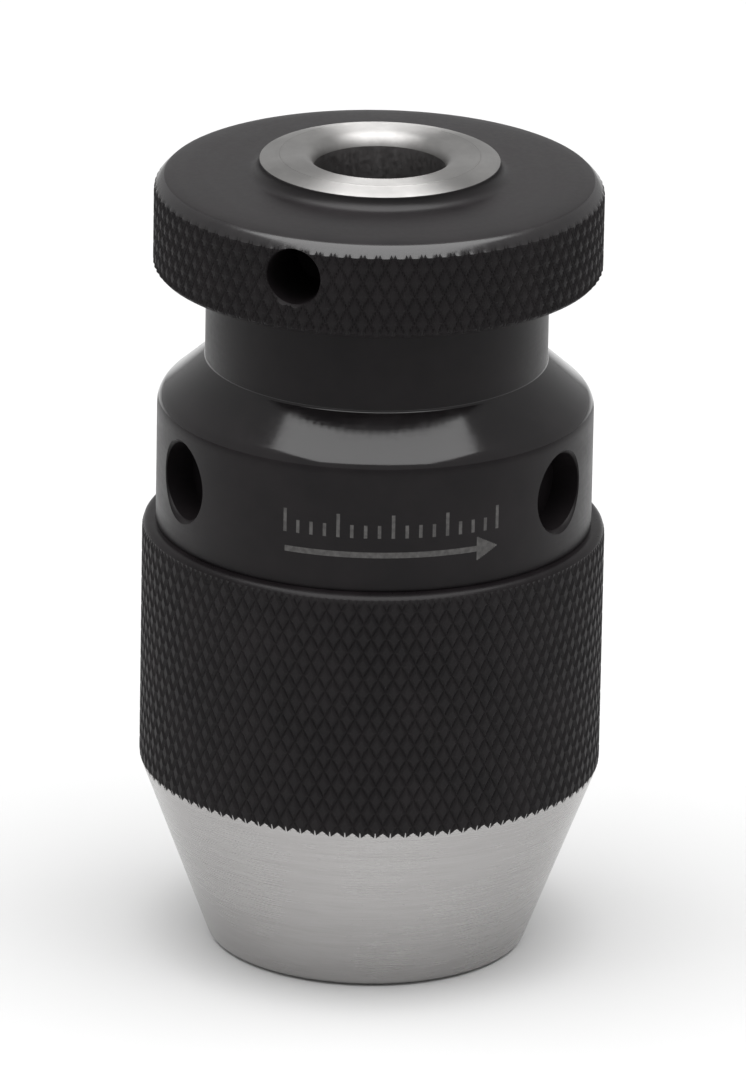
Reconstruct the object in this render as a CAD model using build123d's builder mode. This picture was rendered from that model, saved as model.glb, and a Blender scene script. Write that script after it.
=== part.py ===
from build123d import *

import os
from math import cos, pi, radians, sin, tan

# Keyless self-tightening drill chuck, 0.4 to 6.5 mm, with a JT1 taper socket.
# Millimetres. The chuck stands on its nose, the drill end, at z = 0. Its axis is Z and the taper socket
# opens upwards. The front is -Y, and angles round the chuck count from the front towards +X.

# --- Taper socket: Jacobs taper JT1 ---------------------------------------------------------------
HEIGHT = 61.05
SOCKET_MOUTH_Z = 60.1
SOCKET_LARGE_R = 9.754 / 2
SOCKET_SMALL_R = 8.469 / 2
SOCKET_LENGTH = 16.67
SOCKET_RELIEF = 0.9
SOCKET_LIP_R = 5.8

# --- Flange ring, pressed on the body's trunk -----------------------------------------------------
FLANGE_R = 16.58
FLANGE_Z = 52.4
FLANGE_TOP_Z = 59.7
FLANGE_RIM_Z = 58.45
FLANGE_EDGE = (0.4, 0.24)
FLANGE_BEVEL = (0.65, 0.8)
FLANGE_CROWN = (2.1, 0.15)
COLLAR_R = 8.88
COLLAR_Z = 60.7
COLLAR_HOLLOW_R = 0.75
COLLAR_LIP = 0.2
TOMMY_HOLE_R = 2.1
TOMMY_HOLE_Z = 56.6
TOMMY_HOLE_DEPTH = 6.0
TOMMY_HOLE_ANGLE = -22.0

# --- Body: trunk, thrust disc and threaded nose ---------------------------------------------------
SEAT_R = 7.4
TRUNK_R = 9.6
THRUST_DISC_R = 12.6
THRUST_DISC_BOTTOM = 33.4
BODY_NOSE_R = 8.9
BODY_BOTTOM = 26.0
BODY_CHAMFER = 0.4
THREAD_TOP = 41.0
THREAD_R = 5.0
SEAL_GROOVE_R = 8.65
SEAL_Z = 50.7
SEAL_SECTION_R = 0.58
SEAL_GROOVE_HALF = 0.7
SEAL_GAP = 0.01

# --- Hood: neck, cone and band in one piece -------------------------------------------------------
NECK_R = 12.66
HOOD_TOP = 52.1
HOOD_TOP_CHAMFER = 0.3
NECK_BOTTOM = 45.45
BAND_R = 16.15
BAND_TOP = 42.4
BAND_EDGE_R = 1.6
BAND_BOTTOM = 32.75
SPIGOT_R = 15.3
SPIGOT_BOTTOM = 25.5
HOOD_CAVITY_R = 12.9
HOOD_SHOULDER_Z = 40.7
HOOD_LIP_R = 9.9
BUSH_R = 10.9
BUSH_TOP = 49.0
BUSH_BOTTOM = 41.2
WRENCH_HOLE_R = 2.9
WRENCH_HOLE_Z = 38.0
WRENCH_HOLE_DEPTH = 2.5
WRENCH_HOLE_ANGLES = (-61.5, 58.5, 178.5)

# --- Thrust bearing between the body and the hood -------------------------------------------------
BALL_COUNT = 16
BALL_R = 1.25
PITCH_R = 11.25
BALL_Z = 38.75
LOWER_RACE = (36.8, 37.8)
UPPER_RACE = (39.7, 40.7)
LOWER_RACE_GAP = 0.1
UPPER_RACE_GAP = 0.25
GROOVE_R = 1.32
GROOVE_GAP = 0.05
CAGE = (38.1, 39.4)
CAGE_R = (9.75, 12.75)

# --- Sleeve: knurled grip and ground nose in one piece --------------------------------------------
SLEEVE_R = 17.15
NOSE_R = 11.77
NOSE_SLOPE = 0.378
NOSE_EDGE_R = 0.8
SHOULDER_R = 0.75
GUIDE_R = 14.7
NOSE_WALL = 2.24

# --- Jaw guide, screw spindle and jaws ------------------------------------------------------------
GUIDE_BOTTOM = 0.3
GUIDE_TOP = 25.2
GUIDE_BORE_R = 9.6
GUIDE_BORE_BOTTOM = 10.2
GUIDE_HOLE_R = 3.6
SLOT_GAP = 0.06
SLOT_REACH = 33.0
SPINDLE_HEAD_R = 9.4
SPINDLE_BOTTOM = 20.0
SPINDLE_HEAD_TOP = 25.8
SPINDLE_TOP = 40.4
SPINDLE_CHAMFER = 0.6
THREAD_GAP = 0.05
TEE_SLOT = (22.4, 24.2)
TEE_SLOT_HALF = 2.3
NECK_SLOT_HALF = 1.3
TEE_SLOT_START = 2.2
TEE_GAP = 0.05
TEE_SIDE_GAP = 0.1
JAW_ANGLE = 18.0
JAW_OPEN_R = 3.25
JAW_TIP_Z = 6.0
JAW_TOP_Z = 19.9
JAW_BACK_R = 6.7
JAW_THICKNESS = 6.2
JAW_HALF_WIDTH = 2.2
JAW_LAND_HALF = 0.25
JAW_REACH = 28.0
JAW_WEDGE = 12.0
JAW_WEDGE_ANGLE = 60.0
RIB_HALF_WIDTH = 3.1
RIB_THICKNESS = 1.3
TEE_INNER_R = 5.7
TEE_OUTER_R = 8.8

# How far a cut starts outside the surface that it enters.
CUT_MARGIN = 1.0


def turned(*points):
    """A closed outline of (radius, height) points, in the plane that is turned about Z."""
    with BuildSketch(Plane.XZ) as section:
        with BuildLine():
            Polyline(*points, close=True)
        make_face()
    return section.sketch


def ring(inner, outer, bottom, top):
    """A square-edged ring's outline, ready to turn about Z."""
    return turned((inner, bottom), (outer, bottom), (outer, top), (inner, top))


def radial_plane(angle, radius, height):
    """The plane across the radius at this angle from the front, facing outwards."""
    turn = radians(angle)
    outward = Vector(sin(turn), -cos(turn), 0)
    middle = outward * radius + Vector(0, 0, height)
    return Plane(origin=middle, x_dir=(cos(turn), sin(turn), 0), z_dir=outward)


def flat_plane(angle, height):
    """The horizontal plane at this height, with its x along the radius at this angle."""
    turn = radians(angle)
    return Plane(origin=(0, 0, height), x_dir=(sin(turn), -cos(turn), 0), z_dir=(0, 0, 1))


def slide_plane(angle):
    """The plane square to a jaw's slide, through the origin, with its y pointing outwards."""
    turn = radians(angle)
    lean = radians(JAW_ANGLE)
    outward = Vector(sin(turn), -cos(turn), 0)
    tangent = Vector(cos(turn), sin(turn), 0)
    return Plane(
        origin=(0, 0, 0), x_dir=tangent * -1, z_dir=outward * sin(lean) + Vector(0, 0, cos(lean))
    )


def jaw_section(angle, gap):
    """A jaw's section square to its slide: a bar with a wider rib at its back, grown by gap."""
    lean = radians(JAW_ANGLE)
    back = JAW_BACK_R * cos(lean) - JAW_TIP_Z * sin(lean)
    front = back - JAW_THICKNESS * cos(lean)
    with BuildSketch(slide_plane(angle)) as section:
        with Locations((0, (front + back) / 2)):
            Rectangle(2 * (JAW_HALF_WIDTH + gap), back - front + 2 * gap)
        with Locations((0, back - RIB_THICKNESS / 2)):
            Rectangle(2 * (RIB_HALF_WIDTH + gap), RIB_THICKNESS + 2 * gap)
    return section.sketch


def save(piece, name):
    """Labels a finished piece and writes it as one STEP file."""
    piece.label = name
    export_step(piece, f"parts/{name}.step")


JAW_ANGLES = (0.0, 120.0, 240.0)
SOCKET_BOTTOM_Z = SOCKET_MOUTH_Z - SOCKET_LENGTH

os.makedirs("parts", exist_ok=True)

# --- Body -----------------------------------------------------------------------------------------
with BuildPart() as body:
    with BuildSketch(Plane.XZ):
        with BuildLine():
            Polyline(
                (0, THREAD_TOP),
                (THREAD_R, THREAD_TOP),
                (THREAD_R, BODY_BOTTOM),
                (BODY_NOSE_R, BODY_BOTTOM),
                (BODY_NOSE_R, THRUST_DISC_BOTTOM),
                (THRUST_DISC_R, THRUST_DISC_BOTTOM),
                (THRUST_DISC_R, LOWER_RACE[0]),
                (TRUNK_R, LOWER_RACE[0]),
                (TRUNK_R, FLANGE_Z),
                (SEAT_R, FLANGE_Z),
                (SEAT_R, HEIGHT),
                (SOCKET_LIP_R, HEIGHT),
            )
            lip = TangentArc(
                (SOCKET_LIP_R, HEIGHT), (SOCKET_LARGE_R, SOCKET_MOUTH_Z), tangent=(-1, 0)
            )
            Polyline(
                lip @ 1,
                (SOCKET_SMALL_R, SOCKET_BOTTOM_Z),
                (SOCKET_SMALL_R, SOCKET_BOTTOM_Z - SOCKET_RELIEF),
                (0, SOCKET_BOTTOM_Z - SOCKET_RELIEF),
                (0, THREAD_TOP),
            )
        make_face()
    revolve(axis=Axis.Z)
    revolve(
        ring(
            SEAL_GROOVE_R, TRUNK_R + CUT_MARGIN, SEAL_Z - SEAL_GROOVE_HALF, SEAL_Z + SEAL_GROOVE_HALF
        ),
        axis=Axis.Z,
        mode=Mode.SUBTRACT,
    )
    lowest_edges = body.edges().filter_by(GeomType.CIRCLE).group_by(Axis.Z)[0]
    chamfer(lowest_edges, length=BODY_CHAMFER)
save(body.part, "body")

# --- Seal ring in the trunk's groove --------------------------------------------------------------
with BuildPart() as seal_ring:
    with BuildSketch(Plane.XZ):
        with Locations((SEAL_GROOVE_R + SEAL_SECTION_R + SEAL_GAP, SEAL_Z)):
            Circle(SEAL_SECTION_R)
    revolve(axis=Axis.Z)
save(seal_ring.part, "seal_ring")

# --- Flange ring ----------------------------------------------------------------------------------
with BuildPart() as flange_ring:
    with BuildSketch(Plane.XZ):
        with BuildLine():
            Polyline(
                (SEAT_R, HEIGHT),
                (SEAT_R, FLANGE_Z),
                (FLANGE_R - FLANGE_EDGE[0], FLANGE_Z),
                (FLANGE_R, FLANGE_Z + FLANGE_EDGE[1]),
                (FLANGE_R, FLANGE_RIM_Z),
                (FLANGE_R - FLANGE_BEVEL[0], FLANGE_RIM_Z + FLANGE_BEVEL[1]),
                (FLANGE_R - FLANGE_CROWN[0], FLANGE_TOP_Z - FLANGE_CROWN[1]),
                (COLLAR_R + COLLAR_HOLLOW_R, FLANGE_TOP_Z),
            )
            hollow = TangentArc(
                (COLLAR_R + COLLAR_HOLLOW_R, FLANGE_TOP_Z),
                (COLLAR_R, COLLAR_Z - COLLAR_LIP),
                tangent=(-1, 0),
            )
            Polyline(hollow @ 1, (COLLAR_R, COLLAR_Z), (SEAT_R, HEIGHT))
        make_face()
    revolve(axis=Axis.Z)
    with BuildSketch(radial_plane(TOMMY_HOLE_ANGLE, FLANGE_R + CUT_MARGIN, TOMMY_HOLE_Z)):
        Circle(TOMMY_HOLE_R)
    extrude(amount=-(TOMMY_HOLE_DEPTH + CUT_MARGIN), mode=Mode.SUBTRACT)
save(flange_ring.part, "flange_ring")

# --- Thrust bearing -------------------------------------------------------------------------------
with BuildPart() as lower_race:
    revolve(ring(TRUNK_R, THRUST_DISC_R - LOWER_RACE_GAP, *LOWER_RACE), axis=Axis.Z)
    with BuildSketch(Plane.XZ):
        with Locations((PITCH_R, BALL_Z - BALL_R - GROOVE_GAP + GROOVE_R)):
            Circle(GROOVE_R)
    revolve(axis=Axis.Z, mode=Mode.SUBTRACT)
save(lower_race.part, "lower_race")

with BuildPart() as upper_race:
    revolve(ring(TRUNK_R + UPPER_RACE_GAP, HOOD_CAVITY_R, *UPPER_RACE), axis=Axis.Z)
    with BuildSketch(Plane.XZ):
        with Locations((PITCH_R, BALL_Z + BALL_R + GROOVE_GAP - GROOVE_R)):
            Circle(GROOVE_R)
    revolve(axis=Axis.Z, mode=Mode.SUBTRACT)
save(upper_race.part, "upper_race")

with BuildPart() as ball_cage:
    revolve(ring(*CAGE_R, *CAGE), axis=Axis.Z)
    with BuildSketch(Plane.XY.offset(CAGE[0])):
        with PolarLocations(PITCH_R, BALL_COUNT):
            Circle(BALL_R + GROOVE_GAP)
    extrude(amount=CAGE[1] - CAGE[0], mode=Mode.SUBTRACT)
save(ball_cage.part, "ball_cage")

for number in range(BALL_COUNT):
    turn = 2 * pi * number / BALL_COUNT
    with BuildPart() as ball:
        with Locations((PITCH_R * cos(turn), PITCH_R * sin(turn), BALL_Z)):
            Sphere(BALL_R)
    save(ball.part, f"ball_{number + 1:02d}")

# --- Hood and the bush in its neck ----------------------------------------------------------------
with BuildPart() as hood:
    revolve(
        turned(
            (HOOD_CAVITY_R, SPIGOT_BOTTOM),
            (SPIGOT_R, SPIGOT_BOTTOM),
            (SPIGOT_R, BAND_BOTTOM),
            (BAND_R, BAND_BOTTOM),
            (BAND_R, BAND_TOP),
            (NECK_R, NECK_BOTTOM),
            (NECK_R, HOOD_TOP - HOOD_TOP_CHAMFER),
            (NECK_R - HOOD_TOP_CHAMFER, HOOD_TOP),
            (HOOD_LIP_R, HOOD_TOP),
            (HOOD_LIP_R, BUSH_TOP),
            (BUSH_R, BUSH_TOP),
            (BUSH_R, HOOD_SHOULDER_Z),
            (HOOD_CAVITY_R, HOOD_SHOULDER_Z),
        ),
        axis=Axis.Z,
    )
    band_edge = hood.edges().filter_by_position(Axis.Z, BAND_TOP - 0.01, BAND_TOP + 0.01)
    fillet(band_edge, radius=BAND_EDGE_R)
    for angle in WRENCH_HOLE_ANGLES:
        with BuildSketch(radial_plane(angle, BAND_R + CUT_MARGIN, WRENCH_HOLE_Z)):
            Circle(WRENCH_HOLE_R)
        extrude(amount=-(WRENCH_HOLE_DEPTH + CUT_MARGIN), mode=Mode.SUBTRACT)
save(hood.part, "hood")

with BuildPart() as neck_bush:
    revolve(ring(TRUNK_R + THREAD_GAP, BUSH_R, BUSH_BOTTOM, BUSH_TOP), axis=Axis.Z)
save(neck_bush.part, "neck_bush")

# --- Sleeve ---------------------------------------------------------------------------------------
nose_top = (SLEEVE_R - NOSE_R) / NOSE_SLOPE
guide_cone_r = NOSE_R - NOSE_WALL
guide_cone_top = (GUIDE_R - guide_cone_r) / NOSE_SLOPE

with BuildPart() as sleeve:
    with BuildSketch(Plane.XZ):
        with BuildLine():
            Polyline(
                (SPIGOT_R, BAND_BOTTOM),
                (SPIGOT_R, SPIGOT_BOTTOM),
                (GUIDE_R, SPIGOT_BOTTOM),
                (GUIDE_R, guide_cone_top),
                (guide_cone_r, 0),
                (NOSE_R - NOSE_EDGE_R, 0),
                (NOSE_R + NOSE_SLOPE * NOSE_EDGE_R, NOSE_EDGE_R),
                (SLEEVE_R, nose_top),
                (SLEEVE_R, BAND_BOTTOM),
                (SPIGOT_R, BAND_BOTTOM),
            )
        make_face()
    revolve(axis=Axis.Z)
    top_edges = sleeve.edges().filter_by(GeomType.CIRCLE).group_by(Axis.Z)[-1]
    fillet(top_edges.sort_by(SortBy.RADIUS)[-1], radius=SHOULDER_R)
save(sleeve.part, "sleeve")

# --- Jaw guide: three leaning slots round a central hole ------------------------------------------
with BuildPart() as jaw_guide:
    revolve(
        turned(
            (GUIDE_HOLE_R, GUIDE_BOTTOM),
            (guide_cone_r + NOSE_SLOPE * GUIDE_BOTTOM, GUIDE_BOTTOM),
            (GUIDE_R, guide_cone_top),
            (GUIDE_R, GUIDE_TOP),
            (GUIDE_BORE_R, GUIDE_TOP),
            (GUIDE_BORE_R, GUIDE_BORE_BOTTOM),
            (GUIDE_HOLE_R, GUIDE_BORE_BOTTOM),
        ),
        axis=Axis.Z,
    )
    for angle in JAW_ANGLES:
        extrude(jaw_section(angle, SLOT_GAP), amount=SLOT_REACH, both=True, mode=Mode.SUBTRACT)
save(jaw_guide.part, "jaw_guide")

# --- Screw spindle: a left-hand screw with three tee slots in its head ----------------------------
with BuildPart() as screw_spindle:
    revolve(
        turned(
            (0, SPINDLE_BOTTOM),
            (SPINDLE_HEAD_R, SPINDLE_BOTTOM),
            (SPINDLE_HEAD_R, SPINDLE_HEAD_TOP),
            (THREAD_R - THREAD_GAP, SPINDLE_HEAD_TOP),
            (THREAD_R - THREAD_GAP, SPINDLE_TOP),
            (0, SPINDLE_TOP),
        ),
        axis=Axis.Z,
    )
    slot_length = SPINDLE_HEAD_R + CUT_MARGIN - TEE_SLOT_START
    slot_middle = TEE_SLOT_START + slot_length / 2
    for angle in JAW_ANGLES:
        with BuildSketch(flat_plane(angle, SPINDLE_BOTTOM)):
            with Locations((slot_middle, 0)):
                Rectangle(slot_length, 2 * NECK_SLOT_HALF)
        extrude(amount=TEE_SLOT[0] - SPINDLE_BOTTOM, mode=Mode.SUBTRACT)
        with BuildSketch(flat_plane(angle, TEE_SLOT[0])):
            with Locations((slot_middle, 0)):
                Rectangle(slot_length, 2 * TEE_SLOT_HALF)
        extrude(amount=TEE_SLOT[1] - TEE_SLOT[0], mode=Mode.SUBTRACT)
    top_edge = screw_spindle.edges().filter_by(GeomType.CIRCLE).group_by(Axis.Z)[-1]
    chamfer(top_edge, length=SPINDLE_CHAMFER)
save(screw_spindle.part, "screw_spindle")

# --- Jaws, open -----------------------------------------------------------------------------------
tee_length = TEE_OUTER_R - TEE_INNER_R
tee_middle = (TEE_OUTER_R + TEE_INNER_R) / 2
wedge_rise = JAW_WEDGE / tan(radians(JAW_WEDGE_ANGLE))
wedge_side = JAW_LAND_HALF + JAW_WEDGE
wedge_back_r = JAW_OPEN_R + 2 * JAW_WEDGE

for number, angle in enumerate(JAW_ANGLES, start=1):
    with BuildPart() as jaw:
        extrude(jaw_section(angle, 0), amount=JAW_REACH)
        with BuildSketch(flat_plane(angle, JAW_TIP_Z)):
            with BuildLine():
                Polyline(
                    (JAW_OPEN_R, -JAW_LAND_HALF),
                    (JAW_OPEN_R + wedge_rise, -wedge_side),
                    (wedge_back_r, -wedge_side),
                    (wedge_back_r, wedge_side),
                    (JAW_OPEN_R + wedge_rise, wedge_side),
                    (JAW_OPEN_R, JAW_LAND_HALF),
                    close=True,
                )
            make_face()
        extrude(amount=JAW_TOP_Z - JAW_TIP_Z, mode=Mode.INTERSECT)
        with BuildSketch(flat_plane(angle, JAW_TOP_Z)):
            with Locations((tee_middle, 0)):
                Rectangle(tee_length, 2 * (NECK_SLOT_HALF - TEE_GAP))
        extrude(amount=TEE_SLOT[0] + TEE_GAP - JAW_TOP_Z)
        with BuildSketch(flat_plane(angle, TEE_SLOT[0] + TEE_GAP)):
            with Locations((tee_middle, 0)):
                Rectangle(tee_length, 2 * (TEE_SLOT_HALF - TEE_SIDE_GAP))
        extrude(amount=TEE_SLOT[1] - TEE_SLOT[0] - 2 * TEE_GAP)
    save(jaw.part, f"jaw_{number}")
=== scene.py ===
"""Looks for a keyless drill chuck: cut knurls, a ground nose, a turned collar and black-oxided steel.

The shapes are turned outlines of (radius, height) points in millimetres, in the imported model's frame. The
nose stands at height 0 and the taper socket opens upwards. Angles round the chuck are in degrees and count
from the front, which is -Y.
"""

import math

import bmesh
import bpy
import numpy as np
from mathutils import Matrix, Vector


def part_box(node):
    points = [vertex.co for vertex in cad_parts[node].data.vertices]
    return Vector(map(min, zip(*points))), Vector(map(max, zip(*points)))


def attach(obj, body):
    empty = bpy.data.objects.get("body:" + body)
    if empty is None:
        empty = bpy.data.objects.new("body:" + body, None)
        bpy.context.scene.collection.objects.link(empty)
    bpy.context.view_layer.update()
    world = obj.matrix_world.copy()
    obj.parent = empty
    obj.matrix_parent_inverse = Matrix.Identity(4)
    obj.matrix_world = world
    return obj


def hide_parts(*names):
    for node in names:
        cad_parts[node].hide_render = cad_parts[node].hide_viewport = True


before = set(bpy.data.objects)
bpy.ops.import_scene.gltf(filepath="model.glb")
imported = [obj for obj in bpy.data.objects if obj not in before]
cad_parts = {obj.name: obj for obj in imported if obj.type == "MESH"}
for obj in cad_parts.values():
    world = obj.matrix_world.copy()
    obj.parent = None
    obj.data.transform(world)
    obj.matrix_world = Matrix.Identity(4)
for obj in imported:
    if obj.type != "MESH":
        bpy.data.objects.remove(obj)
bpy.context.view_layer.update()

MM = 0.001


def half_width(node):
    """A round node's outer radius in millimetres."""
    low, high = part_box(node)
    return (high.x - low.x) / 2 / MM


def span(node):
    """A node's lowest and highest heights in millimetres."""
    low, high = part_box(node)
    return low.z / MM, high.z / MM


# --- Sizes, in millimetres, from the frame where it holds them ---------------------------------------
# Sleeve: ground nose cone, knurled grip and rounded shoulder. NOSE_INNER_EDGE is how far outside the
# guide's cone the nose's inner edge starts and ends.
SLEEVE_R = half_width("sleeve")
SLEEVE_TOP = span("sleeve")[1]
NOSE_R = 11.77
NOSE_SLOPE = 0.378
NOSE_WALL = 2.24
NOSE_EDGE_R = 0.8
NOSE_INNER_EDGE = (0.12, 0.3)
SHOULDER_R = 0.75
GUIDE_R = half_width("jaw_guide")

# Hood: spigot inside the sleeve, then band, cone and neck. The corners' roundings come next, and last where
# the cone's smoother finish starts and ends.
SPIGOT_R = 15.3
SPIGOT_BOTTOM, HOOD_TOP = span("hood")
HOOD_CAVITY_R = 12.9
HOOD_SHOULDER_Z = 40.7
HOOD_LIP_R = 9.9
BUSH_R = 10.9
BUSH_TOP = 49.0
BAND_R = half_width("hood")
BAND_TOP = 42.4
BAND_EDGE_R = 1.6
NECK_R = 12.66
NECK_BOTTOM = 45.45
BAND_FOOT_ROUNDING = 0.05
NECK_ROUNDING = 0.25
LIP_ROUNDING = 0.1
CONE_LOOK_LOW = BAND_TOP - 0.2
CONE_LOOK_HIGH = NECK_BOTTOM + 0.3
CONE_LOOK_INNER_R = NECK_R - 0.1

# Flange ring: bottom edge, knurled rim, top bevel, crowned top, and the raised collar round the body's
# end. The edge and the bevel are (width, height). The crown's points are listed one by one. COLLAR_EDGE
# holds how far in from COLLAR_R and up from COLLAR_Z each point of the collar's broken edge and slope lies.
# Only the outermost FLANGE_SKIN is knurled, and the collar is bright above COLLAR_BRIGHT_Z.
FLANGE_R = half_width("flange_ring")
FLANGE_Z, HEIGHT = span("flange_ring")
FLANGE_TOP_Z = 59.7
FLANGE_RIM_Z = 58.45
FLANGE_EDGE = (0.4, 0.24)
FLANGE_BEVEL = (0.65, 0.8)
FLANGE_BEVEL_CURVE = 1.25
FLANGE_CROWN = [
    (15.84, 59.33),
    (15.60, 59.40),
    (15.10, 59.48),
    (14.55, 59.54),
    (13.0, 59.62),
    (11.0, 59.67),
    (9.85, 59.69),
]
FLANGE_UNDERSIDE_ROW = 2.2
FLANGE_EDGE_ROW = 0.08
FLANGE_KNURL_START = 0.15
FLANGE_SKIN = 0.8
COLLAR_R = 8.88
COLLAR_Z = 60.7
COLLAR_HOLLOW_R = 0.85
COLLAR_EDGE = [(0.0, -0.09), (0.03, -0.03), (0.10, 0.01), (0.8, 0.19)]
COLLAR_BRIGHT_Z = COLLAR_Z - 0.05

# Body: threaded nose, thrust disc, and trunk with the seal's groove, and the JT1 taper socket in its end.
# SEAM is the small edge break where the body meets the collar, and SEAM_STEP the collar's drop there.
SEAT_R = 7.4
SEAM = 0.04
SEAM_STEP = 0.015
TRUNK_R = 9.6
THRUST_DISC_R = 12.6
THRUST_DISC = (33.4, 36.8)
BODY_NOSE_R = 8.9
BODY_BOTTOM = 26.0
BODY_CHAMFER = 0.4
THREAD_TOP = 41.0
THREAD_R = 5.0
SEAL_GROOVE_R = 8.65
SEAL_GROOVE = (50.0, 51.4)
SOCKET_MOUTH_Z = 60.1
SOCKET_LIP_R = 5.8
SOCKET_LARGE_R = 9.754 / 2
SOCKET_SMALL_R = 8.469 / 2
SOCKET_LENGTH = 16.67
SOCKET_RELIEF = 0.9
SOCKET_RELIEF_STEP = 0.1

# Blind radial holes. A hole's edge is eased: HOLE_EDGE holds (away from the wall, out of the hole) points
# in shares of HOLE_EASE, from the hole's wall to past the surface.
TOMMY_HOLE = {"angle": -22.0, "z": 56.6, "r": 2.1, "depth": 6.0, "surface": FLANGE_R}
WRENCH_HOLES = [
    {"angle": angle, "z": 38.0, "r": 2.9, "depth": 2.5, "surface": BAND_R}
    for angle in (-61.5, 58.5, 178.5)
]
HOLE_EASE = 0.22
HOLE_EDGE = [(0.0, -1.0), (0.4, -0.35), (1.6, 0.8)]
HOLE_FLOOR_DISH = 0.02
HOLE_COLUMNS = 96
CUTTER_OVERRUN = 2.0

# Knurl: two families of grooves that cross. LATTICE columns and rows cut each tooth, so that mesh edges
# lie along the grooves' bottoms and lips. GROOVE_SHARE is a groove's half width as a share of the pitch.
LATTICE = 8
TOOTH_RISE = 2.1
TOOTH_DEPTH = 0.17
GROOVE_SHARE = 0.25
SLEEVE_TEETH = 96
FLANGE_TEETH = 94
SLEEVE_KNURL_LOW = 12.9
SLEEVE_KNURL_HIGH = SLEEVE_TOP - SHOULDER_R + 0.25
SLEEVE_KNURL_INNER_R = SPIGOT_R + 0.2
KNURL_SMOOTH_ANGLE = 24.0

# Mesh rows where nothing is knurled
ROUND_COLUMNS = 256
CONE_ROWS = 8
SHOULDER_ROWS = 6
NOSE_EDGE_ROWS = 6
HOLLOW_ROWS = 8
LIP_ROWS = 10
TAPER_ROWS = 6
BAND_ROW = 0.25
BAND_ROWS_END = BAND_TOP - 0.9

# Mark on the band: a row of ticks over an arrow that shows which way tightens. Widths round the band are
# in degrees, and heights in millimetres.
TICKS = 17
LONG_TICK_EVERY = 4
LONG_TICK = 1.8
SHORT_TICK = 1.0
TICK_HALF_WIDTH = 0.45
MARK_START = -23.5
MARK_END = 34.0
TICK_Z = 36.9
ARROW_Z = 35.6
ARROW_HALF_HEIGHT = 0.22
ARROW_ROWS = 24
ARROW_HEAD = 6.0
ARROW_HEAD_HALF_HEIGHT = 0.9
ARROW_HEAD_STRIPS = 12
MARK_LIFT = 0.006


# --- Mesh helpers ------------------------------------------------------------------------------------
def arc_points(middle, radius, start, end, steps):
    """(radius, height) points along an arc in the turning plane. The angles are in degrees."""
    angles = [math.radians(start + (end - start) * i / steps) for i in range(steps + 1)]
    return [(middle[0] + radius * math.cos(a), middle[1] + radius * math.sin(a)) for a in angles]


def rounded(corners, steps=5):
    """A closed outline's points, where each (radius, height, rounding) corner becomes an arc."""
    outline = []
    for i, (r, z, rounding) in enumerate(corners):
        if rounding == 0:
            outline.append((r, z))
            continue
        corner = Vector((r, z))
        back = (Vector(corners[i - 1][:2]) - corner).normalized()
        ahead = (Vector(corners[(i + 1) % len(corners)][:2]) - corner).normalized()
        half = back.angle(ahead) / 2
        middle = corner + (back + ahead).normalized() * rounding / math.sin(half)
        first = corner + back * rounding / math.tan(half) - middle
        last = corner + ahead * rounding / math.tan(half) - middle
        sweep = first.angle_signed(last)
        for k in range(steps + 1):
            arm = Matrix.Rotation(-sweep * k / steps, 2) @ first
            outline.append((middle.x + arm.x, middle.y + arm.y))
    return outline


def new_object(name, vertices, faces):
    mesh = bpy.data.meshes.new(name)
    mesh.from_pydata(vertices, [], faces)
    mesh.validate()
    mesh.update()
    obj = bpy.data.objects.new(name, mesh)
    bpy.context.scene.collection.objects.link(obj)
    return obj


def split_quad(a, b, c, d, rising):
    """A quad's two triangles, split along one diagonal or the other."""
    if rising:
        return [(a, b, c), (a, c, d)]
    return [(a, b, d), (b, c, d)]


def lathe(name, outline, columns, looks=(), look=None, cut=None, smooth=30.0):
    """Turns a closed outline about Z.

    looks names the piece's materials, and look(r, z) the one on a stretch of the outline. Without look,
    it is the first. cut(turns, r, z) gives each column's radius on a row. Where it is given, quads are
    split so that both families of grooves keep their creases.
    """
    turns = np.arange(columns) / columns
    rows = len(outline)
    radii = np.empty((rows, columns))
    for i, (r, z) in enumerate(outline):
        radii[i] = cut(turns, r, z) if cut else r
    angle = 2 * math.pi * turns
    heights = np.repeat(np.array([z for _, z in outline])[:, None], columns, 1)
    points = np.stack([radii * np.sin(angle), -radii * np.cos(angle), heights], -1)
    faces = []
    slots = []
    for i in range(rows):
        j = (i + 1) % rows
        middle_r = (outline[i][0] + outline[j][0]) / 2
        middle_z = (outline[i][1] + outline[j][1]) / 2
        slot = looks.index(look(middle_r, middle_z)) if look else 0
        for k in range(columns):
            m = (k + 1) % columns
            quad = (i * columns + k, i * columns + m, j * columns + m, j * columns + k)
            parts = split_quad(*quad, rising=(i + k) % 2 == 0) if cut else [quad]
            faces += parts
            slots += [slot] * len(parts)
    obj = new_object(name, (points.reshape(-1, 3) * MM).tolist(), faces)
    obj.data.polygons.foreach_set("material_index", slots)
    for material in looks:
        obj.data.materials.append(MATERIALS[material])
    weld(obj)
    shade_smooth(obj.data, smooth)
    return obj


def weld(obj):
    """Joins the points that meet on the axis, drops the edges left there and turns the faces outwards."""
    bm = bmesh.new()
    bm.from_mesh(obj.data)
    bmesh.ops.remove_doubles(bm, verts=bm.verts, dist=1e-7)
    loose = [edge for edge in bm.edges if not edge.link_faces]
    bmesh.ops.delete(bm, geom=loose, context="EDGES")
    bmesh.ops.recalc_face_normals(bm, faces=bm.faces)
    bm.to_mesh(obj.data)
    bm.free()


def shade_smooth(mesh, angle=30.0):
    """Smooth shading, with a crease where two faces turn by more than this angle."""
    mesh.polygons.foreach_set("use_smooth", [True] * len(mesh.polygons))
    mesh.set_sharp_from_angle(angle=math.radians(angle))


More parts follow.
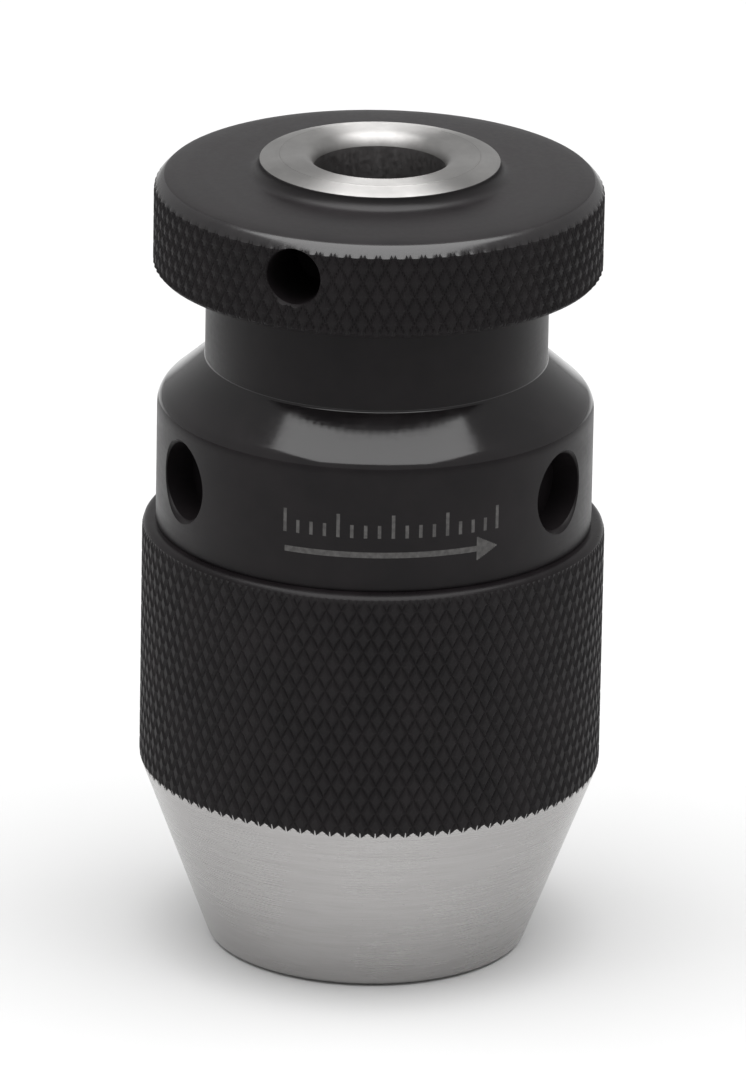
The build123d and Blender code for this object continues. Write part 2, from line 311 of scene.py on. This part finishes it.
def radial_matrix(angle, z):
    """A frame whose Z points outwards at this angle from the front, at this height."""
    turn = math.radians(angle)
    outward = Vector((math.sin(turn), -math.cos(turn), 0))
    side = Vector((math.cos(turn), math.sin(turn), 0))
    matrix = Matrix.Identity(4)
    matrix.col[0][:3] = side
    matrix.col[1][:3] = outward.cross(side)
    matrix.col[2][:3] = outward
    matrix.col[3][:3] = Vector((0, 0, z * MM))
    return matrix


def subtract(obj, cutter):
    """Cuts a cutter's closed mesh out of an object's, then deletes the cutter.

    The cut is made in millimetres, because in metres the solver loses precision at this size.
    """
    for mesh in (obj.data, cutter.data):
        mesh.transform(Matrix.Scale(1 / MM, 4))
    modifier = obj.modifiers.new("hole", "BOOLEAN")
    modifier.operation = "DIFFERENCE"
    modifier.solver = "EXACT"
    modifier.object = cutter
    bpy.context.view_layer.update()
    graph = bpy.context.evaluated_depsgraph_get()
    cut_object = obj.evaluated_get(graph)
    mesh = bpy.data.meshes.new_from_object(cut_object, preserve_all_data_layers=True, depsgraph=graph)
    mesh.transform(Matrix.Scale(MM, 4))
    obj.modifiers.clear()
    uncut_mesh = obj.data
    obj.data = mesh
    bpy.data.meshes.remove(uncut_mesh)
    cutter_mesh = cutter.data
    bpy.data.objects.remove(cutter)
    bpy.data.meshes.remove(cutter_mesh)


def drill(obj, hole, inside_slot):
    """Cuts a blind radial hole with an eased edge and gives its inside this material slot.

    Distances along the hole are measured outwards from the chuck's axis. The lip is halfway between the
    surface's highest point at the hole and its lowest, where the round surface has dropped away.
    """
    floor = hole["surface"] - hole["depth"]
    drop = hole["r"] ** 2 / (2 * hole["surface"])
    lip = hole["surface"] - drop / 2
    top = hole["surface"] + CUTTER_OVERRUN
    edge = [(hole["r"] + HOLE_EASE * out, lip + HOLE_EASE * up) for out, up in HOLE_EDGE]
    dished = [(0, floor - HOLE_FLOOR_DISH * hole["r"]), (hole["r"], floor)]
    cutter = lathe(obj.name + "_cutter", [*dished, *edge, (edge[-1][0], top), (0, top)], HOLE_COLUMNS)
    cutter.data.transform(radial_matrix(hole["angle"], hole["z"]))
    subtract(obj, cutter)
    inwards = radial_matrix(hole["angle"], hole["z"]).inverted()
    widest = hole["r"] + 0.01
    deepest = floor - 0.1
    highest = lip - HOLE_EASE / 2
    for face in obj.data.polygons:
        x, y, out = inwards @ face.center / MM
        if math.hypot(x, y) < widest and deepest < out < highest:
            face.material_index = inside_slot
    shade_smooth(obj.data)


def knurl_groove(turns, z, teeth):
    """How deep a diamond knurl's grooves are, from 0 at the teeth's flats."""
    rising = teeth * turns + z / TOOTH_RISE
    falling = teeth * turns - z / TOOTH_RISE
    apart = np.minimum(np.abs(rising - np.round(rising)), np.abs(falling - np.round(falling)))
    return TOOTH_DEPTH * np.clip(1 - apart / GROOVE_SHARE, 0, 1)


def lattice_heights(low, high):
    """The heights between low and high that lie on the knurl's lattice."""
    step = TOOTH_RISE / LATTICE
    return [step * i for i in range(math.ceil(low / step), math.floor(high / step) + 1)]


# --- Material helpers --------------------------------------------------------------------------------
# The pattern that follows the chuck round swings this far either way in a turn, in metres, so that it is
# drawn out along the turning marks.
ROUND_SWING = 0.004


class Nodes:
    """A material's node tree with short calls for the few nodes used here."""

    def __init__(self, name):
        self.material = bpy.data.materials.new(name)
        self.material.use_nodes = True
        self.tree = self.material.node_tree
        self.shader = self.tree.nodes["Principled BSDF"]
        self.place = self.add("ShaderNodeTexCoord").outputs["Object"]

    def add(self, kind, **settings):
        node = self.tree.nodes.new(kind)
        for key, value in settings.items():
            setattr(node, key, value)
        return node

    def link(self, source, target):
        self.tree.links.new(source, target)

    def feed(self, socket, source):
        """Links a node's output to one of the shader's own sockets."""
        self.link(source, self.shader.inputs[socket])

    def set(self, **values):
        """Sets the shader's own sockets, where a value is the same all over."""
        for key, value in values.items():
            self.shader.inputs[key.replace("_", " ")].default_value = value

    def math(self, operation, first, second=0.0):
        node = self.add("ShaderNodeMath", operation=operation)
        for socket, value in zip(node.inputs, (first, second)):
            if isinstance(value, (int, float)):
                socket.default_value = value
            else:
                self.link(value, socket)
        return node.outputs[0]

    def noise(self, scale, detail, place=None, finer_up=1.0):
        """Noise from 0 to 1. finer_up is how much finer it is along the third coordinate, the height."""
        mapping = self.add("ShaderNodeMapping")
        mapping.inputs["Scale"].default_value = (1, 1, finer_up)
        self.link(place or self.place, mapping.inputs["Vector"])
        texture = self.add("ShaderNodeTexNoise")
        texture.inputs["Scale"].default_value = scale
        texture.inputs["Detail"].default_value = detail
        texture.inputs["Roughness"].default_value = 0.55
        self.link(mapping.outputs[0], texture.inputs["Vector"])
        return texture.outputs["Fac"]

    def ramp(self, value, low, high, to_low=0.0, to_high=1.0):
        """Maps low to high onto to_low to to_high, and stays level beyond."""
        node = self.add("ShaderNodeMapRange", clamp=True)
        limits = {"From Min": low, "From Max": high, "To Min": to_low, "To Max": to_high}
        for name, setting in limits.items():
            node.inputs[name].default_value = setting
        self.link(value, node.inputs["Value"])
        return node.outputs[0]

    def blend(self, factor, first, second):
        """A colour between two, which are (red, green, blue) or a node's output."""
        node = self.add("ShaderNodeMix", data_type="RGBA")
        self.link(factor, node.inputs["Factor"])
        for socket, value in ((node.inputs[6], first), (node.inputs[7], second)):
            if isinstance(value, tuple):
                socket.default_value = (*value, 1.0)
            else:
                self.link(value, socket)
        return node.outputs[2]

    def bump(self, height, strength, distance):
        node = self.add("ShaderNodeBump")
        node.inputs["Strength"].default_value = strength
        node.inputs["Distance"].default_value = distance
        self.link(height, node.inputs["Height"])
        self.feed("Normal", node.outputs[0])

    def round_place(self):
        """Coordinates that follow the chuck round: a swing across, the radius and the height, in metres."""
        parts = self.add("ShaderNodeSeparateXYZ")
        self.link(self.place, parts.inputs[0])
        x, y, z = parts.outputs
        x_squared = self.math("MULTIPLY", x, x)
        y_squared = self.math("MULTIPLY", y, y)
        radius = self.math("SQRT", self.math("ADD", x_squared, y_squared))
        joined = self.add("ShaderNodeCombineXYZ")
        self.link(self.math("MULTIPLY", self.math("DIVIDE", x, radius), ROUND_SWING), joined.inputs[0])
        self.link(radius, joined.inputs[1])
        self.link(z, joined.inputs[2])
        return joined.outputs[0]


def shade(colour, share):
    """This share of a colour's brightness."""
    return tuple(share * c for c in colour)


# --- Materials. Noise scales are per metre, and bump distances in metres ------------------------------
OXIDE = (0.0060, 0.0049, 0.0055)
OXIDE_LIGHT = (0.0100, 0.0082, 0.0090)
GROUND_STEEL_DARK = (0.40, 0.39, 0.385)
GROUND_STEEL = (0.45, 0.44, 0.435)
GROUND_STEEL_LIGHT = (0.49, 0.48, 0.475)
FACED_STEEL = (0.54, 0.53, 0.52)
ETCH_DARK = (0.055, 0.053, 0.052)
ETCH = (0.095, 0.092, 0.090)
RUBBER_DARK = (0.012, 0.012, 0.012)
RUBBER = (0.03, 0.03, 0.03)
FLOOR_DARK = (0.60, 0.60, 0.60)
FLOOR = (0.63, 0.63, 0.63)

# The sleeve's black depth, in millimetres: beyond GROUND_BLUR either way a point is all black or all
# ground. Points more than SLEEVE_SKIN under the surface are inside, and get INSIDE_DEPTH, which is black.
GROUND_BLUR = 0.004
SLEEVE_SKIN = 1.0
INSIDE_DEPTH = 0.1


def oxide_inputs(n, round_place):
    """Black oxide: blotched colour and roughness. Returns colour, roughness, fine grain, turning rings."""
    blotch = n.noise(scale=260, detail=5)
    fine = n.noise(scale=2400, detail=3)
    rings = n.noise(scale=900, detail=2, place=round_place, finer_up=6)
    colour = n.blend(n.ramp(blotch, 0.35, 0.7), OXIDE, OXIDE_LIGHT)
    mixed = n.math("ADD", n.math("MULTIPLY", blotch, 0.5), n.math("MULTIPLY", fine, 0.3))
    mixed = n.math("ADD", mixed, n.math("MULTIPLY", rings, 0.2))
    roughness = n.ramp(mixed, 0.3, 0.75, to_low=0.30, to_high=0.46)
    return colour, roughness, fine, rings


def black_oxide(name, gloss=0.0, relief=0.25, specular=0.18):
    """Turned steel, blackened: a soft sheen, fine turning lines and a faint blotch."""
    n = Nodes(name)
    colour, roughness, fine, rings = oxide_inputs(n, n.round_place())
    n.feed("Base Color", colour)
    n.feed("Roughness", n.math("SUBTRACT", roughness, gloss))
    n.set(Metallic=0.0, IOR=1.45, Specular_IOR_Level=specular)
    n.bump(n.math("ADD", n.math("MULTIPLY", fine, 0.4), rings), strength=relief, distance=0.00002)
    return n.material


def sleeve_skin():
    """The sleeve outside: black oxide, and ground steel where the nose cone cuts through the knurl."""
    n = Nodes("sleeve_skin")
    round_place = n.round_place()
    colour, oxide_rough, fine, _ = oxide_inputs(n, round_place)
    depth = n.add("ShaderNodeAttribute", attribute_name="under_black").outputs["Fac"]
    ground = n.ramp(depth, -GROUND_BLUR, GROUND_BLUR, to_low=1.0, to_high=0.0)
    lines = n.noise(scale=1500, detail=4, place=round_place, finer_up=9)
    wide = n.noise(scale=300, detail=3, place=round_place, finer_up=7)
    smudge = n.noise(scale=130, detail=4)

    grey = n.blend(n.ramp(lines, 0.3, 0.7), GROUND_STEEL_DARK, GROUND_STEEL)
    grey = n.blend(n.ramp(wide, 0.4, 0.75, to_high=0.35), grey, GROUND_STEEL_LIGHT)
    n.feed("Base Color", n.blend(ground, colour, grey))
    n.feed("Metallic", ground)

    line_rough = n.ramp(lines, 0.3, 0.7, to_low=0.22, to_high=0.28)
    smudge_rough = n.ramp(smudge, 0.35, 0.7, to_low=-0.02, to_high=0.04)
    steel_rough = n.math("ADD", line_rough, smudge_rough)
    height = n.add("ShaderNodeSeparateXYZ")
    n.link(n.place, height.inputs[0])
    shoulder = (SLEEVE_TOP - SHOULDER_R) * MM
    by_height = n.ramp(height.outputs[2], shoulder, shoulder + 0.2 * MM, to_low=0.16, to_high=-0.06)
    rough = n.add("ShaderNodeMix", data_type="FLOAT")
    n.link(ground, rough.inputs["Factor"])
    n.link(n.math("ADD", oxide_rough, by_height), rough.inputs[2])
    n.link(steel_rough, rough.inputs[3])
    n.feed("Roughness", rough.outputs[0])

    n.set(IOR=1.45, Specular_IOR_Level=0.22)
    n.bump(n.math("ADD", lines, n.math("MULTIPLY", fine, 0.4)), strength=0.10, distance=0.00002)
    return n.material


def turned_steel(name):
    """A faced end: concentric tool marks that spread a light into fans."""
    n = Nodes(name)
    marks = n.noise(scale=5200, detail=3, place=n.round_place(), finer_up=0.2)
    smudge = n.noise(scale=300, detail=4)
    n.feed("Base Color", n.blend(n.ramp(smudge, 0.35, 0.7), shade(FACED_STEEL, 0.8), FACED_STEEL))
    n.feed("Roughness", n.ramp(marks, 0.3, 0.7, to_low=0.40, to_high=0.46))
    n.set(Metallic=1.0, Anisotropic=0.95, Anisotropic_Rotation=0.25)
    n.feed("Tangent", n.add("ShaderNodeTangent", direction_type="RADIAL", axis="Z").outputs[0])
    n.bump(marks, strength=0.05, distance=0.00001)
    return n.material


def machined_steel(name, colour, rough, dark=0.70):
    """Plain machined metal with a light film of oil. dark is the share of the colour in its patches."""
    n = Nodes(name)
    broad = n.noise(scale=220, detail=5)
    fine = n.noise(scale=3000, detail=3)
    n.feed("Base Color", n.blend(n.ramp(broad, 0.35, 0.7), shade(colour, dark), colour))
    n.feed("Roughness", n.ramp(fine, 0.3, 0.7, to_low=rough - 0.06, to_high=rough + 0.08))
    n.set(Metallic=1.0)
    n.bump(fine, strength=0.15, distance=0.00002)
    return n.material


def rubber(name):
    n = Nodes(name)
    fine = n.noise(scale=1800, detail=4)
    n.feed("Base Color", n.blend(fine, RUBBER_DARK, RUBBER))
    n.feed("Roughness", n.ramp(fine, 0.3, 0.7, to_low=0.55, to_high=0.75))
    n.bump(fine, strength=0.3, distance=0.00003)
    return n.material


def etched(name):
    """A laser mark: matt grey, slightly patchy where the beam's passes overlap."""
    n = Nodes(name)
    patch = n.noise(scale=2600, detail=3)
    n.feed("Base Color", n.blend(n.ramp(patch, 0.35, 0.65), ETCH_DARK, ETCH))
    n.feed("Roughness", n.ramp(patch, 0.3, 0.7, to_low=0.6, to_high=0.8))
    n.set(Metallic=0.0, Specular_IOR_Level=0.3)
    n.bump(patch, strength=0.3, distance=0.00002)
    return n.material


MATERIALS = {
    "black": black_oxide("black_oxide", specular=0.19),
    "bevel": black_oxide("black_oxide_bevel", gloss=0.15, relief=0.1, specular=0.80),
    "cone": black_oxide("black_oxide_cone", gloss=0.25, relief=0.04, specular=0.52),
    "top": black_oxide("black_oxide_top", specular=0.42),
    "hole": black_oxide("black_oxide_hole", gloss=-0.25, relief=0.1, specular=0.08),
    "knurl": black_oxide("black_oxide_knurl", gloss=-0.16),
    "sleeve": sleeve_skin(),
    "collar": turned_steel("turned_collar"),
    "bore": machined_steel("socket_bore", (0.27, 0.26, 0.26), rough=0.40, dark=0.94),
    "plain": machined_steel("machined_steel", (0.36, 0.36, 0.37), rough=0.34),
    "hard": machined_steel("ground_hard_steel", (0.50, 0.50, 0.51), rough=0.24, dark=0.84),
    "brass": machined_steel("cage_brass", (0.62, 0.44, 0.16), rough=0.32),
    "bronze": machined_steel("bush_bronze", (0.50, 0.30, 0.13), rough=0.34),
    "rubber": rubber("seal_rubber"),
    "etched": etched("etched_mark"),
}


# --- Sleeve ------------------------------------------------------------------------------------------
def sleeve_radius(z):
    """The turned and ground outline's radius, before the knurl: cone, cylinder and shoulder."""
    rise = z - (SLEEVE_TOP - SHOULDER_R)
    if rise <= 0:
        return min(NOSE_R + NOSE_SLOPE * z, SLEEVE_R)
    return SLEEVE_R - SHOULDER_R + math.sqrt(max(SHOULDER_R**2 - rise**2, 0))


def sleeve_inside():
    """From the sleeve's top down the spigot's seat and the guide's, and out to the nose's end face."""
    guide_cone_r = NOSE_R - NOSE_WALL
    start, end = NOSE_INNER_EDGE
    return [
        (SPIGOT_R, SLEEVE_TOP),
        (SPIGOT_R, SPIGOT_BOTTOM),
        (GUIDE_R, SPIGOT_BOTTOM),
        (GUIDE_R, (GUIDE_R - guide_cone_r) / NOSE_SLOPE),
        (guide_cone_r + start, start / NOSE_SLOPE),
        (guide_cone_r + end, 0.0),
    ]


def sleeve_outside():
    """From the nose's rounded edge up the cone and the knurled cylinder, and over the shoulder."""
    slant = math.atan(NOSE_SLOPE)
    edge_middle = (NOSE_R + NOSE_SLOPE * NOSE_EDGE_R - NOSE_EDGE_R / math.cos(slant), NOSE_EDGE_R)
    edge = arc_points(edge_middle, NOSE_EDGE_R, -90, -math.degrees(slant), NOSE_EDGE_ROWS)
    edge_top = edge[-1][1]
    plain_cone = SLEEVE_KNURL_LOW - edge_top
    cone = [edge_top + plain_cone * i / CONE_ROWS for i in range(1, CONE_ROWS)]
    knurl = lattice_heights(SLEEVE_KNURL_LOW, SLEEVE_KNURL_HIGH)
    quarter = [math.radians(90 * i / SHOULDER_ROWS) for i in range(1, SHOULDER_ROWS + 1)]
    shoulder = [SLEEVE_KNURL_HIGH + (SLEEVE_TOP - SLEEVE_KNURL_HIGH) * math.sin(a) for a in quarter]
    return edge + [(sleeve_radius(z), z) for z in cone + knurl + shoulder]


def cut_sleeve(turns, r, z):
    """A row's radii: the knurl's where it lies below the turned outline, on the outside only."""
    knurled = SLEEVE_KNURL_LOW <= z <= SLEEVE_KNURL_HIGH and r > SLEEVE_KNURL_INNER_R
    if not knurled:
        return np.full(turns.shape, r)
    return np.minimum(r, SLEEVE_R - knurl_groove(turns, z, SLEEVE_TEETH))


def mark_ground_steel(mesh):
    """Stores how far each point of the black knurl lies under the nose cone's surface, in millimetres.

    It is negative where the cone was ground through the knurl. The inside counts as black.
    """
    points = np.array([v.co for v in mesh.vertices]) / MM
    turns = np.arctan2(points[:, 0], -points[:, 1]) / (2 * math.pi)
    knurled = SLEEVE_R - knurl_groove(turns, points[:, 2], SLEEVE_TEETH)
    cone = NOSE_R + NOSE_SLOPE * points[:, 2]
    inside = np.hypot(points[:, 0], points[:, 1]) < np.minimum(cone, SLEEVE_R) - SLEEVE_SKIN
    depth = np.where(inside, INSIDE_DEPTH, cone - knurled)
    attribute = mesh.attributes.new("under_black", "FLOAT", "POINT")
    attribute.data.foreach_set("value", depth.astype(np.float32))


def make_sleeve():
    outline = sleeve_inside() + sleeve_outside()
    columns = SLEEVE_TEETH * LATTICE
    obj = lathe("sleeve_skin", outline, columns, ["sleeve"], cut=cut_sleeve, smooth=KNURL_SMOOTH_ANGLE)
    mark_ground_steel(obj.data)
    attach(obj, "sleeve_group")
    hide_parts("sleeve")


# --- Flange ring -------------------------------------------------------------------------------------
def flange_radius(z):
    """The flange's turned outline before the knurl: bottom edge, cylinder, top bevel."""
    edge_width, edge_height = FLANGE_EDGE
    bevel_width, bevel_height = FLANGE_BEVEL
    above = z - FLANGE_Z
    if above < edge_height:
        return FLANGE_R - edge_width * (1 - above / edge_height)
    past_rim = max(z - FLANGE_RIM_Z, 0)
    return FLANGE_R - bevel_width * (past_rim / bevel_height) ** FLANGE_BEVEL_CURVE


def flange_outline():
    """From the seat on the trunk round the underside, the rim, the crown and the collar."""
    bottom_radii = (SEAT_R, FLANGE_R - FLANGE_UNDERSIDE_ROW, FLANGE_R - FLANGE_EDGE[0])
    bottom = [(r, FLANGE_Z) for r in bottom_radii]
    knurl = lattice_heights(FLANGE_Z + FLANGE_KNURL_START, FLANGE_RIM_Z + FLANGE_BEVEL[1])
    rim = [(flange_radius(z), z) for z in [FLANGE_Z + FLANGE_EDGE_ROW, *knurl]]
    hollow_middle = (COLLAR_R + COLLAR_HOLLOW_R, FLANGE_TOP_Z + COLLAR_HOLLOW_R)
    hollow = arc_points(hollow_middle, COLLAR_HOLLOW_R, 270, 180, HOLLOW_ROWS)
    collar = [(COLLAR_R - inwards, COLLAR_Z + up) for inwards, up in COLLAR_EDGE]
    seam = [(SEAT_R + SEAM, HEIGHT - SEAM_STEP), (SEAT_R, HEIGHT - SEAM)]
    return bottom + rim + FLANGE_CROWN + hollow + collar + seam


def cut_flange(turns, r, z):
    """A row's radii: the knurl's on the rim, and the outline's elsewhere."""
    if r < FLANGE_R - FLANGE_SKIN:
        return np.full(turns.shape, r)
    return np.minimum(r, FLANGE_R - knurl_groove(turns, z, FLANGE_TEETH))


def flange_look(r, z):
    if z > COLLAR_BRIGHT_Z:
        return "collar"
    if r < FLANGE_R - FLANGE_BEVEL[0]:
        return "top"
    return "bevel" if z > FLANGE_RIM_Z else "knurl"


def make_flange_ring():
    looks = ["knurl", "collar", "top", "bevel", "hole"]
    columns = FLANGE_TEETH * LATTICE
    obj = lathe(
        "flange_skin", flange_outline(), columns, looks, flange_look, cut_flange, KNURL_SMOOTH_ANGLE
    )
    drill(obj, TOMMY_HOLE, looks.index("hole"))
    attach(obj, "taper_body")
    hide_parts("flange_ring")


# --- Hood --------------------------------------------------------------------------------------------
def hood_outline():
    """Spigot, band, cone and neck outside, then the lip, the bush's seat and the cavity inside.

    The band has plain rows all the way up, because large faces beside the wrench holes shade unevenly.
    """
    rows = int((BAND_ROWS_END - SLEEVE_TOP) / BAND_ROW)
    band = [(BAND_R, SLEEVE_TOP + BAND_ROW * i, 0) for i in range(1, rows)]
    return rounded(
        [
            (HOOD_CAVITY_R, SPIGOT_BOTTOM, 0),
            (SPIGOT_R, SPIGOT_BOTTOM, 0),
            (SPIGOT_R, SLEEVE_TOP, 0),
            (BAND_R, SLEEVE_TOP, BAND_FOOT_ROUNDING),
            *band,
            (BAND_R, BAND_TOP, BAND_EDGE_R),
            (NECK_R, NECK_BOTTOM, NECK_ROUNDING),
            (NECK_R, HOOD_TOP, NECK_ROUNDING),
            (HOOD_LIP_R, HOOD_TOP, LIP_ROUNDING),
            (HOOD_LIP_R, BUSH_TOP, 0),
            (BUSH_R, BUSH_TOP, 0),
            (BUSH_R, HOOD_SHOULDER_Z, 0),
            (HOOD_CAVITY_R, HOOD_SHOULDER_Z, 0),
        ]
    )


def hood_look(r, z):
    on_cone = CONE_LOOK_LOW < z < CONE_LOOK_HIGH and r > CONE_LOOK_INNER_R
    return "cone" if on_cone else "black"


def make_hood():
    looks = ["black", "cone", "hole"]
    obj = lathe("hood_skin", hood_outline(), ROUND_COLUMNS, looks, hood_look)
    for hole in WRENCH_HOLES:
        drill(obj, hole, looks.index("hole"))
    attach(obj, "sleeve_group")
    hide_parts("hood")


# --- Body: only its end face and the taper socket show ------------------------------------------------
def body_outline():
    """From the thread's blind end down and round the outside, then over the lip and down the taper."""
    disc_bottom, disc_top = THRUST_DISC
    groove_bottom, groove_top = SEAL_GROOVE
    outside = [
        (0, THREAD_TOP),
        (THREAD_R, THREAD_TOP),
        (THREAD_R, BODY_BOTTOM),
        (BODY_NOSE_R - BODY_CHAMFER, BODY_BOTTOM),
        (BODY_NOSE_R, BODY_BOTTOM + BODY_CHAMFER),
        (BODY_NOSE_R, disc_bottom),
        (THRUST_DISC_R, disc_bottom),
        (THRUST_DISC_R, disc_top),
        (TRUNK_R, disc_top),
        (TRUNK_R, groove_bottom),
        (SEAL_GROOVE_R, groove_bottom),
        (SEAL_GROOVE_R, groove_top),
        (TRUNK_R, groove_top),
        (TRUNK_R, FLANGE_Z),
        (SEAT_R, FLANGE_Z),
        (SEAT_R, HEIGHT - SEAM),
        (SEAT_R - SEAM, HEIGHT),
    ]
    quarter = [math.radians(90 * i / LIP_ROWS) for i in range(LIP_ROWS + 1)]
    lip_width = SOCKET_LIP_R - SOCKET_LARGE_R
    lip_height = HEIGHT - SOCKET_MOUTH_Z
    lip = [
        (SOCKET_LIP_R - lip_width * math.sin(a), SOCKET_MOUTH_Z + lip_height * math.cos(a))
        for a in quarter
    ]
    narrowing = SOCKET_LARGE_R - SOCKET_SMALL_R
    shares = [i / TAPER_ROWS for i in range(1, TAPER_ROWS + 1)]
    taper = [(SOCKET_LARGE_R - narrowing * s, SOCKET_MOUTH_Z - SOCKET_LENGTH * s) for s in shares]
    bottom = SOCKET_MOUTH_Z - SOCKET_LENGTH
    relief_r = SOCKET_SMALL_R - SOCKET_RELIEF_STEP
    relief = [
        (relief_r, bottom - SOCKET_RELIEF_STEP),
        (relief_r, bottom - SOCKET_RELIEF),
        (0, bottom - SOCKET_RELIEF),
    ]
    return outside + lip + taper + relief


def body_look(r, z):
    return "collar" if z > SOCKET_MOUTH_Z else "bore"


def make_body():
    obj = lathe("body_skin", body_outline(), ROUND_COLUMNS, ["collar", "bore"], body_look)
    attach(obj, "taper_body")
    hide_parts("body")


# --- Etched mark -------------------------------------------------------------------------------------
def on_band(angle, z):
    turn = math.radians(angle)
    r = (BAND_R + MARK_LIFT) * MM
    return (r * math.sin(turn), -r * math.cos(turn), z * MM)


def stroke(vertices, faces, low, high, steps=1):
    """Adds a flat bar on the band from (angle, height) low to high, bent in this many steps."""
    start = len(vertices)
    for i in range(steps + 1):
        angle = low[0] + (high[0] - low[0]) * i / steps
        vertices += [on_band(angle, low[1]), on_band(angle, high[1])]
    for i in range(steps):
        a = start + 2 * i
        faces.append((a, a + 2, a + 3, a + 1))


def make_mark():
    vertices = []
    faces = []
    for i in range(TICKS):
        angle = MARK_START + (MARK_END - MARK_START) * i / (TICKS - 1)
        top = TICK_Z + (LONG_TICK if i % LONG_TICK_EVERY == 0 else SHORT_TICK)
        stroke(vertices, faces, (angle - TICK_HALF_WIDTH, TICK_Z), (angle + TICK_HALF_WIDTH, top))
    shaft_end = MARK_END - ARROW_HEAD
    shaft_low = (MARK_START, ARROW_Z - ARROW_HALF_HEIGHT)
    shaft_high = (shaft_end, ARROW_Z + ARROW_HALF_HEIGHT)
    stroke(vertices, faces, shaft_low, shaft_high, ARROW_ROWS)
    strip = ARROW_HEAD / ARROW_HEAD_STRIPS
    for i in range(ARROW_HEAD_STRIPS):
        half = ARROW_HEAD_HALF_HEIGHT * (1 - i / ARROW_HEAD_STRIPS)
        first = shaft_end + strip * i
        stroke(vertices, faces, (first, ARROW_Z - half), (first + strip, ARROW_Z + half))
    obj = new_object("etched_mark", vertices, faces)
    obj.data.materials.append(MATERIALS["etched"])
    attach(obj, "sleeve_group")


# --- The pieces that keep the CAD's shape ------------------------------------------------------------
CARRIED = {
    "jaw_guide": "plain",
    "screw_spindle": "plain",
    "jaw_1": "hard",
    "jaw_2": "hard",
    "jaw_3": "hard",
    "lower_race": "hard",
    "upper_race": "hard",
    "ball_cage": "brass",
    "neck_bush": "bronze",
    "seal_ring": "rubber",
}


def finish_carried_pieces():
    for name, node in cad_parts.items():
        is_ball = name.startswith("ball_") and name != "ball_cage"
        material = "hard" if is_ball else CARRIED.get(name)
        if material:
            node.data.materials.clear()
            node.data.materials.append(MATERIALS[material])


# --- Floor, lights, camera, in metres ----------------------------------------------------------------
def make_floor():
    half = 3.0
    corners = [(-half, -half, 0), (half, -half, 0), (half, half, 0), (-half, half, 0)]
    floor = new_object("floor", corners, [(0, 1, 2, 3)])
    n = Nodes("pale_floor")
    n.feed("Base Color", n.blend(n.noise(scale=6, detail=3), FLOOR_DARK, FLOOR))
    n.set(Roughness=0.75, Specular_IOR_Level=0.2)
    floor.data.materials.append(n.material)


def softbox(name, place, target, width, depth, power, glossy=True, diffuse=True):
    """A rectangular light that faces its target.

    glossy says whether reflections show it, and diffuse whether it lights matt surfaces.
    """
    light = bpy.data.lights.new(name, "AREA")
    light.shape = "RECTANGLE"
    light.size = width
    light.size_y = depth
    light.energy = power
    obj = bpy.data.objects.new(name, light)
    bpy.context.scene.collection.objects.link(obj)
    obj.location = place
    aim = Vector(target) - Vector(place)
    obj.rotation_euler = aim.to_track_quat("-Z", "Y").to_euler()
    obj.visible_glossy = glossy
    obj.visible_diffuse = diffuse


def make_lights():
    """A white room and an overhead light, whose reflection has a place and a size of its own."""
    world = bpy.data.worlds.new("studio")
    bpy.context.scene.world = world
    world.use_nodes = True
    background = world.node_tree.nodes["Background"]
    background.inputs["Color"].default_value = (1, 1, 1, 1)
    background.inputs["Strength"].default_value = 0.50
    softbox(
        "overhead", place=(0.0, -0.05, 0.80), target=(0, 0, 0.03),
        width=1.40, depth=0.80, power=14.0, glossy=False,
    )
    softbox(
        "overhead_gloss", place=(0.0, -0.245, 0.79), target=(0, -0.245, 0.03),
        width=0.98, depth=1.01, power=10.5, diffuse=False,
    )


def make_camera():
    """A long lens from the front, looking down a little, with the picture turned slightly."""
    elevation = math.radians(19.95)
    roll = math.radians(1.06)
    distance = 0.970
    focal_px = 13075.0
    picture_height_px = 1080.0
    aim = Vector((0, 0, 0.03094))
    data = bpy.data.cameras.new("camera")
    data.sensor_width = 36.0
    data.lens = focal_px * data.sensor_width / picture_height_px
    data.clip_start = 0.05
    data.clip_end = 20.0
    camera = bpy.data.objects.new("camera", data)
    bpy.context.scene.collection.objects.link(camera)
    back = Vector((0, -math.cos(elevation), math.sin(elevation)))
    up = Vector((0, math.sin(elevation), math.cos(elevation)))
    across = Vector((1, 0, 0))
    right = across * math.cos(roll) + up * math.sin(roll)
    top = up * math.cos(roll) - across * math.sin(roll)
    matrix = Matrix.Identity(4)
    for column, axis in enumerate((right, top, back)):
        matrix.col[column][:3] = axis
    matrix.col[3][:3] = aim + back * distance
    camera.matrix_world = matrix
    bpy.context.scene.camera = camera


make_sleeve()
make_flange_ring()
make_hood()
make_body()
make_mark()
finish_carried_pieces()
make_floor()
make_lights()
make_camera()
bpy.context.scene.view_settings.view_transform = "Standard"
